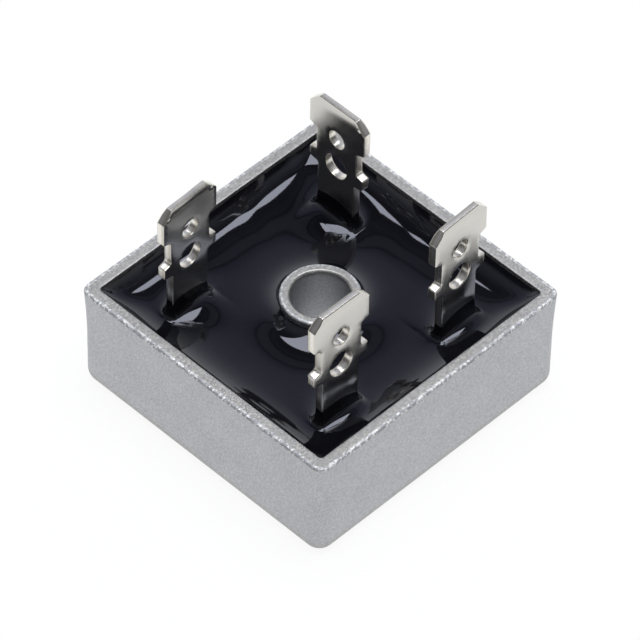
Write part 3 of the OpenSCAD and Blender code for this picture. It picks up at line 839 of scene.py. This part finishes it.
def plated_strip():
    """Warm grey metal with fine rolling lines down the blade, faint clouds of handling marks, and banded
    sheared edges."""
    made, tree = new_material("satin_nickel_plated_brass")
    place = add_node(tree, "ShaderNodeTexCoord").outputs["Object"]
    fine, long = 1 / (ROLLING_LINE_MM * MM), 1 / (ROLLING_LINE_LENGTH_MM * MM)
    stretched = add_node(tree, "ShaderNodeMapping", {"Vector": place, "Scale": (fine, fine, long)})
    lines = {"Vector": stretched.outputs[0], "Scale": 1.0, "Detail": 2.0}
    lines = add_node(tree, "ShaderNodeTexNoise", lines).outputs["Fac"]
    marks = {"Vector": place, "Scale": 1 / (HANDLING_CLOUD_MM * MM), "Detail": 4.0, "Roughness": 0.6}
    clouds = add_node(tree, "ShaderNodeTexNoise", marks).outputs["Fac"]
    grit = {"Vector": place, "Scale": 1 / (GRIT_MM * MM), "Detail": 2.0}
    grit = add_node(tree, "ShaderNodeTexNoise", grit).outputs["Fac"]
    across = add_node(tree, "ShaderNodeAttribute", attribute_name="across").outputs["Fac"]
    sheared = add_node(tree, "ShaderNodeAttribute", attribute_name="sheared").outputs["Fac"]

    face = add_node(tree, "ShaderNodeValToRGB", {"Fac": clouds}, HANDLED_FACE)
    band = add_node(tree, "ShaderNodeMapRange", {"Value": across, 1: -1.0, 2: 1.0})
    wander = add_node(tree, "ShaderNodeMath", {0: grit, 1: 0.22}, operation="MULTIPLY")
    banded = add_node(tree, "ShaderNodeMath", {0: band.outputs[0], 1: wander.outputs[0]}, operation="ADD")
    edge = add_node(tree, "ShaderNodeValToRGB", {"Fac": banded.outputs[0]}, SHEARED_EDGE)
    colour = {"Factor": sheared, 6: face.outputs["Color"], 7: edge.outputs["Color"]}
    colour = add_node(tree, "ShaderNodeMix", colour, data_type="RGBA")

    satin = add_node(tree, "ShaderNodeMapRange", {"Value": clouds, 1: 0.3, 2: 0.7, 3: 0.19, 4: 0.24})
    duller = add_node(tree, "ShaderNodeMath", {0: sheared, 1: 0.08}, operation="MULTIPLY")
    rough = add_node(tree, "ShaderNodeMath", {0: satin.outputs[0], 1: duller.outputs[0]}, operation="ADD")
    rolled = add_node(tree, "ShaderNodeMath", {0: lines, 1: 0.35}, operation="MULTIPLY")
    torn = add_node(tree, "ShaderNodeMath", {0: grit, 1: sheared}, operation="MULTIPLY")
    relief = add_node(tree, "ShaderNodeMath", {0: rolled.outputs[0], 1: torn.outputs[0]}, operation="ADD")
    bump = {"Height": relief.outputs[0], "Distance": 0.012 * MM, "Strength": 0.5}
    bump = add_node(tree, "ShaderNodeBump", bump)
    shader = add_node(tree, "ShaderNodeBsdfPrincipled", {
        "Base Color": colour.outputs[2], "Metallic": 1.0, "Roughness": rough.outputs[0],
        "Normal": bump.outputs[0]})
    add_node(tree, "ShaderNodeOutputMaterial", {"Surface": shader.outputs[0]})
    return made


plated = plated_strip()
for made, _, _ in tabs.values():
    put_on(made, plated)
print("material:", plated.name)

# %% [markdown]
# The resin was poured in hot and thin. It crept up everything that it touched before it
# set, so its top is level only in the open parts: it rises steeply to the walls, the tube
# and the tabs in curves that fade out within a few millimetres. A plain flat disc with
# rounded edges would look wrong at once, because this glossy black surface shows nothing
# but the reflections that those curves bend.
# The curve against a flat wall is known exactly. With a creep length of 1.6 mm, the distance
# from the wall is given by the height there, and the height is read back from that table.
# Near a round or narrow thing the same curve dies away faster.

# %% Curve against a wall
CREEP_LENGTH, LEVEL_Z = 1.6, 8.9
WALL_RISE, TUBE_RISE, MOUND_RISE = 1.6, 1.0, 0.95
# Slope of the curve where it is carried on inside the metal
HIDDEN_SLOPE = math.tan(math.radians(62))


def creep_height(distance, rise):
    """Height of the exact curve at this distance from a flat wall that it climbs by the rise. In creep
    lengths, the distance is the area cosine of 2/h less the root of 4 - h squared, measured from the
    wall."""
    h = np.linspace(rise, 0.0004, 4000) / CREEP_LENGTH
    run = np.arccosh(2 / h) - np.sqrt(4 - h * h)
    run = (run - run[0]) * CREEP_LENGTH
    return np.where(distance < 0, rise - distance * HIDDEN_SLOPE, np.interp(distance, run, h * CREEP_LENGTH))


print("creep at 0, 1 and 2 mm from a wall:", creep_height(np.array([0.0, 1.0, 2.0]), WALL_RISE).round(2))

# %% [markdown]
# The whole top is one height worked out for any point: the curves from the walls, the tube
# and the tabs, joined smoothly. Resin clings unevenly, so a few stretches of each wall are
# wetted a little higher or lower, the case stood slightly off level while it set, and a thin
# film climbs each tab beyond its mound, higher at one end than at the other.

# %% Height of the resin
TUBE_FADE, MOUND_FADE = 1.8, 3.0
# How much lower the mound is at the ends of a tab than at its middle, and how far past the ends that goes
MOUND_DROOP, DROOP_REACH = 0.42, 1.3
# Height of the film at the left and the right end of each tab, as the camera sees it, and its reach
FILM = {
    "positive": (1.30, 1.30), "negative": (1.50, 0.75),
    "ac_left": (1.60, 0.95), "ac_right": (1.20, 1.40),
}
FILM_REACH = 0.12
# The climb stops short of the rim: it is eased from this share of the room up to the rim stop.
RIM_STOP, EASED_FROM = RIM_Z - 0.12, 0.85
# Where the resin clung higher or lower to a wall: place along it, reach, share of the rise
FAR_LEFT_WALL = [(2.9, 1.2, 0.06), (-5.0, 1.8, 0.03), (11.0, 1.8, -0.18), (-11.5, 1.5, -0.08)]
FAR_RIGHT_WALL = [(0.3, 1.2, 0.05), (-6.0, 1.8, 0.04), (11.0, 1.8, -0.18), (6.0, 2.0, -0.03)]
NEAR_WALLS = [(-7.0, 3.0, 0.02), (3.0, 3.5, -0.02), (9.5, 2.5, 0.02)]
# The low swell towards the far corner: its height, middle and reach
SWELL, SWELL_SPOT, SWELL_REACH = 0.27, (9.5, 8.0), 4.4
WAVE_DEPTH, WAVE_LENGTHS, WAVE_SEED = 0.002, (9.0, 6.5, 12.0, 5.0), 5
STEM_CORNER = 0.12


def stem_distance(x, y, middle, along):
    """Distance to the upright stem of a tab, less than zero inside it, and the place along its width. The
    stem's plan is a thin rectangle with rounded corners."""
    u = (x - middle[0]) * along[0] + (y - middle[1]) * along[1]
    v = -(x - middle[0]) * along[1] + (y - middle[1]) * along[0]
    qu, qv = np.abs(u) - HALF_STEM + STEM_CORNER, np.abs(v) - TAB_T / 2 + STEM_CORNER
    outside = np.hypot(np.maximum(qu, 0), np.maximum(qv, 0))
    return outside + np.minimum(np.maximum(qu, qv), 0) - STEM_CORNER, u


def wall_climbs(x, y):
    """The four walls' curves, each a little higher or lower where the resin clung unevenly."""
    walls = ((CAVITY_HALF - x, y, FAR_RIGHT_WALL), (CAVITY_HALF - y, x, FAR_LEFT_WALL),
             (CAVITY_HALF + x, y, NEAR_WALLS), (CAVITY_HALF + y, x, NEAR_WALLS))
    made = []
    for d, place, clung in walls:
        uneven = 1 + sum(share * np.exp(-(((place - spot) / reach) ** 2)) for spot, reach, share in clung)
        made.append(creep_height(d, WALL_RISE) * uneven)
    return made


def resin_height(x, y, with_film=True):
    """Height of the resin's top at each point in mm. The curves are joined as the root of the sum of their
    squares, which keeps the higher one and rounds the valley between them. The swell, the long faint waves
    and the tabs' films are added."""
    from_tube = np.hypot(x, y) - TUBE_R
    faded = np.sqrt(TUBE_FADE / (TUBE_FADE + np.maximum(from_tube, 0)))
    climbs = wall_climbs(x, y) + [creep_height(from_tube, TUBE_RISE) * faded]
    film = 0
    for name, (_, middle, along) in tabs.items():
        d, u = stem_distance(x, y, middle, along)
        d, u = np.maximum(d, 0), u / HALF_STEM * np.sign(along @ np.array(level_right[:2]))
        droop = 1 - MOUND_DROOP * np.clip(u, -DROOP_REACH, DROOP_REACH) ** 2
        climbs.append(creep_height(d, MOUND_RISE) / np.sqrt(1 + d / MOUND_FADE) * droop)
        left, right = FILM[name]
        film = film + np.exp(-d / FILM_REACH) * (left + (right - left) * np.clip(u / 2 + 0.5, 0, 1))
    climbed = np.sqrt(sum(np.maximum(k, 0) ** 2 for k in climbs))
    from_swell = np.hypot(x - SWELL_SPOT[0], y - SWELL_SPOT[1])
    climbed = climbed + SWELL * np.exp(-((from_swell / SWELL_REACH) ** 2))
    room, last = RIM_STOP - LEVEL_Z, (1 - EASED_FROM) * (RIM_STOP - LEVEL_Z)
    eased = room - last * np.exp(-(climbed - EASED_FROM * room) / last)
    climbed = np.where(climbed > EASED_FROM * room, eased, climbed)
    waves = WAVE_DEPTH * long_waves(x, y, WAVE_LENGTHS, WAVE_SEED)
    return LEVEL_Z + climbed + waves + (film if with_film else 0)


at_wall = float(resin_height(np.array(CAVITY_HALF), np.array(0.0)))
print("level resin at", LEVEL_Z, "mm, at the middle of a wall", round(at_wall, 2), "mm")

# %% [markdown]
# The resin is one closed ring: its top runs from the tube to the walls, and its underside
# lies round the ceramic plate in the bottom of the case. Both ends reach a little into the
# metal, so that no gap shows at the foot of a wall. The films are left out here, because
# they are too thin for this grid, and the top is sunk a little near each tab to make room.

# %% The resin, as one closed ring
RESIN_ROWS, RESIN_SIDE, RESIN_CORNER = 134, 160, 10
# How far the resin reaches into the metal, how far its top is sunk near a tab, and how far out that goes
METAL_LAP, TAB_SINK, SINK_REACH = 0.08, 0.08, 1.2
# Share by which the rows are drawn together at the tube and at the walls, where the curves are steepest
ROW_CROWDING = 0.30
PLATE_TOP, PLATE_EDGE, PLATE_CORNER, PLATE_HOLE = 3.0, 12.75, 0.5, 4.0

tube_lap, wall_lap = TUBE_R - METAL_LAP, CAVITY_HALF + METAL_LAP
steps = np.linspace(0, 1, RESIN_ROWS)
spread = steps - ROW_CROWDING * np.sin(2 * math.pi * steps) / (2 * math.pi)
resin_rows = np.tile([tube_lap, wall_lap, CAVITY_R, 0.0, 0.0, 0.0], (RESIN_ROWS, 1))
resin_rows[:, SQUARE] = spread
resin_top = carried_round(resin_rows, RESIN_SIDE, RESIN_CORNER)
resin_top[..., 2] = resin_height(resin_top[..., 0], resin_top[..., 1], with_film=False)
for _, middle, along in tabs.values():
    to_tab = stem_distance(resin_top[..., 0], resin_top[..., 1], middle, along)[0]
    nearness = np.clip(1 - to_tab / SINK_REACH, 0, 1)
    resin_top[..., 2] -= TAB_SINK * nearness**2 * (3 - 2 * nearness)
below = np.array([
    (tube_lap, wall_lap, CAVITY_R, BASE_Z, 1, 0),
    (TUBE_R, PLATE_EDGE, PLATE_CORNER, BASE_Z, 1, 0),
    (TUBE_R, PLATE_EDGE, PLATE_CORNER, PLATE_TOP, 1, 0),
    (PLATE_HOLE, PLATE_EDGE, PLATE_CORNER, PLATE_TOP, 0, 0),
    (PLATE_HOLE, PLATE_EDGE, PLATE_CORNER, BASE_Z, 0, 0),
    (tube_lap, PLATE_EDGE, PLATE_CORNER, BASE_Z, 0, 0),
])
resin_points = np.concatenate([resin_top, carried_round(below, RESIN_SIDE, RESIN_CORNER)])
resin_fill = ring_piece("potting_resin", resin_points, "resin", "resin")
print("resin:", len(resin_fill.data.polygons) * 2, "triangles,", round(volume_mm3(resin_fill)), "mm3")
print("its top is from", resin_top[..., 2].min().round(2), "to", resin_top[..., 2].max().round(2), "mm high")

# %% [markdown]
# The film on a tab is about a tenth of a millimetre thick, too thin for the wide grid above.
# So each tab gets a collar: the same height worked out on a much finer ring of points that
# follows the tab's outline. The wide grid is sunk a little under each collar, and the
# collar's outer edge dips below the wide grid where the two agree, so no step is seen.

# %% Collars round the tabs
COLLAR_ROWS, COLLAR_LONG, COLLAR_SHORT, COLLAR_CORNER = 64, 64, 10, 9
# The collar starts inside the metal, and its rows are crowded towards it by this power.
COLLAR_LAP, COLLAR_SPAN, COLLAR_CROWDING = 0.1, 1.6, 1.8
COLLAR_LIFT, COLLAR_DIP, DIP_LENGTH, COLLAR_DEPTH = 0.0003, 0.03, 0.15, 0.7


def stem_ring():
    """Points round the stem's plan and the outward direction at each: each corner is a quarter circle, and
    the sides between are straight."""
    turn = np.radians(90 * np.arange(COLLAR_CORNER) / (COLLAR_CORNER - 1))
    middles = np.array([HALF_STEM, TAB_T / 2]) - STEM_CORNER
    points, ways = [], []
    for quarter, (sx, sy) in enumerate(((1, 1), (-1, 1), (-1, -1), (1, -1))):
        angle = turn + quarter * math.pi / 2
        way = np.stack([np.cos(angle), np.sin(angle)], -1)
        bend = middles * (sx, sy) + STEM_CORNER * way
        long_side = sx * sy > 0
        next_corner = (-sx, sy) if long_side else (sx, -sy)
        steps = COLLAR_LONG if long_side else COLLAR_SHORT
        points += [bend, line(bend[-1], middles * next_corner + STEM_CORNER * way[-1], steps)[1:]]
        ways += [way, np.repeat(way[-1:], steps - 1, 0)]
    return np.concatenate(points), np.concatenate(ways)


def tab_collar(name, middle, along):
    """A closed ring of resin round one tab. Its rows run outwards from just inside the tab's faces, closer
    together near them, then back underneath."""
    ring, ways = stem_ring()
    d = -COLLAR_LAP + COLLAR_SPAN * np.linspace(0, 1, COLLAR_ROWS) ** COLLAR_CROWDING
    local = ring[None] + ways[None] * d[:, None, None]
    flat = middle + local[..., :1] * along + local[..., 1:] * np.array([-along[1], along[0]])
    dip_from = COLLAR_SPAN - COLLAR_LAP - DIP_LENGTH
    dip = COLLAR_DIP * np.clip((d[:, None] - dip_from) / DIP_LENGTH, 0, 1) ** 2
    z = resin_height(flat[..., 0], flat[..., 1]) + COLLAR_LIFT - dip
    top = np.concatenate([flat, z[..., None]], -1)
    under = top[[-1, 0]].copy()
    under[..., 2] = LEVEL_Z - COLLAR_DEPTH
    made = ring_piece(name, np.concatenate([top, under]), "resin", "resin")
    print(name, "volume", round(volume_mm3(made), 2), "mm3, highest", round(z.max(), 2))
    return made


collars = [tab_collar("resin_collar_" + name, middle, along) for name, (_, middle, along) in tabs.items()]

# %% [markdown]
# Potting epoxy is black because it is filled with soot and fine mineral powder. It sets
# with a skin as smooth as glass, so nearly all of its look is one clear reflection.

# %% Black potting epoxy
DUST_CLOUD_MM, SHRINK_MM = 4.5, 0.6
SOOT_BLACK = [(0.3, "#0B0B0E"), (0.7, "#101014")]


def potting_epoxy():
    """Near-black, with a clear gloss, faint changes of gloss from dust, and a trace of unevenness where it
    shrank as it set."""
    made, tree = new_material("cast_black_epoxy")
    place = add_node(tree, "ShaderNodeTexCoord").outputs["Object"]
    dust = {"Vector": place, "Scale": 1 / (DUST_CLOUD_MM * MM), "Detail": 3.0}
    clouds = add_node(tree, "ShaderNodeTexNoise", dust).outputs["Fac"]
    shrunk = {"Vector": place, "Scale": 1 / (SHRINK_MM * MM), "Detail": 2.0}
    fine = add_node(tree, "ShaderNodeTexNoise", shrunk).outputs["Fac"]
    colour = add_node(tree, "ShaderNodeValToRGB", {"Fac": clouds}, SOOT_BLACK).outputs["Color"]
    rough = add_node(tree, "ShaderNodeMapRange", {"Value": clouds, 1: 0.3, 2: 0.7, 3: 0.035, 4: 0.06})
    bump = add_node(tree, "ShaderNodeBump", {"Height": fine, "Distance": 0.004 * MM, "Strength": 0.25})
    shader = add_node(tree, "ShaderNodeBsdfPrincipled", {
        "Base Color": colour, "Roughness": rough.outputs[0], "IOR": 1.6, "Specular Tint": linear("#E4E7F4"),
        "Normal": bump.outputs[0]})
    add_node(tree, "ShaderNodeOutputMaterial", {"Surface": shader.outputs[0]})
    return made


epoxy = potting_epoxy()
for made in (resin_fill, *collars):
    put_on(made, epoxy)
print("material:", epoxy.name)

# %% [markdown]
# Under the resin lies the circuit: four silicon dies between copper strips, joined with
# solder, on a ceramic plate. The CAD solids already have their true form, so they stay as
# they are and only get their finish. One recipe serves all of them, with each material's
# own colours, gloss and grain size.

# %% Finishes of the circuit inside
GLOSS_SPREAD = 0.12


def inner_finish(name, dark, light, metallic, gloss, grain_mm, relief_mm):
    """A finish with cloudy colour and gloss between two values, at the grain size of the real material."""
    made, tree = new_material(name)
    place = add_node(tree, "ShaderNodeTexCoord").outputs["Object"]
    grains = {"Vector": place, "Scale": 1 / (grain_mm * MM), "Detail": 4.0, "Roughness": 0.6}
    grain = add_node(tree, "ShaderNodeTexNoise", grains).outputs["Fac"]
    colour = add_node(tree, "ShaderNodeValToRGB", {"Fac": grain}, [(0.3, dark), (0.7, light)])
    rough = {"Value": grain, 1: 0.3, 2: 0.7, 3: gloss, 4: gloss + GLOSS_SPREAD}
    rough = add_node(tree, "ShaderNodeMapRange", rough)
    bump = add_node(tree, "ShaderNodeBump", {"Height": grain, "Distance": relief_mm * MM, "Strength": 0.5})
    shader = add_node(tree, "ShaderNodeBsdfPrincipled", {
        "Base Color": colour.outputs["Color"], "Metallic": metallic, "Roughness": rough.outputs[0],
        "Normal": bump.outputs[0]})
    add_node(tree, "ShaderNodeOutputMaterial", {"Surface": shader.outputs[0]})
    return made


copper = inner_finish("rolled_copper_strip", "#B4704E", "#D08C68", 1.0, 0.25, 0.4, 0.01)
INNER_FINISHES = {
    "plate_": copper,
    "jumper_": copper,
    "insulating_": inner_finish("fired_alumina_plate", "#E4E2DA", "#F2F1EC", 0.0, 0.45, 0.2, 0.004),
    "die_": inner_finish("diced_silicon", "#4A4D57", "#5D616C", 0.6, 0.12, 0.9, 0.001),
    "solder_": inner_finish("reflowed_tin_solder", "#A9ABB0", "#C6C8CC", 1.0, 0.22, 0.3, 0.02),
}
for node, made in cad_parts.items():
    for start, finish in INNER_FINISHES.items():
        if node.startswith(start):
            put_on(made, finish)
print("inner nodes finished:", sum(node.startswith(tuple(INNER_FINISHES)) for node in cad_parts))
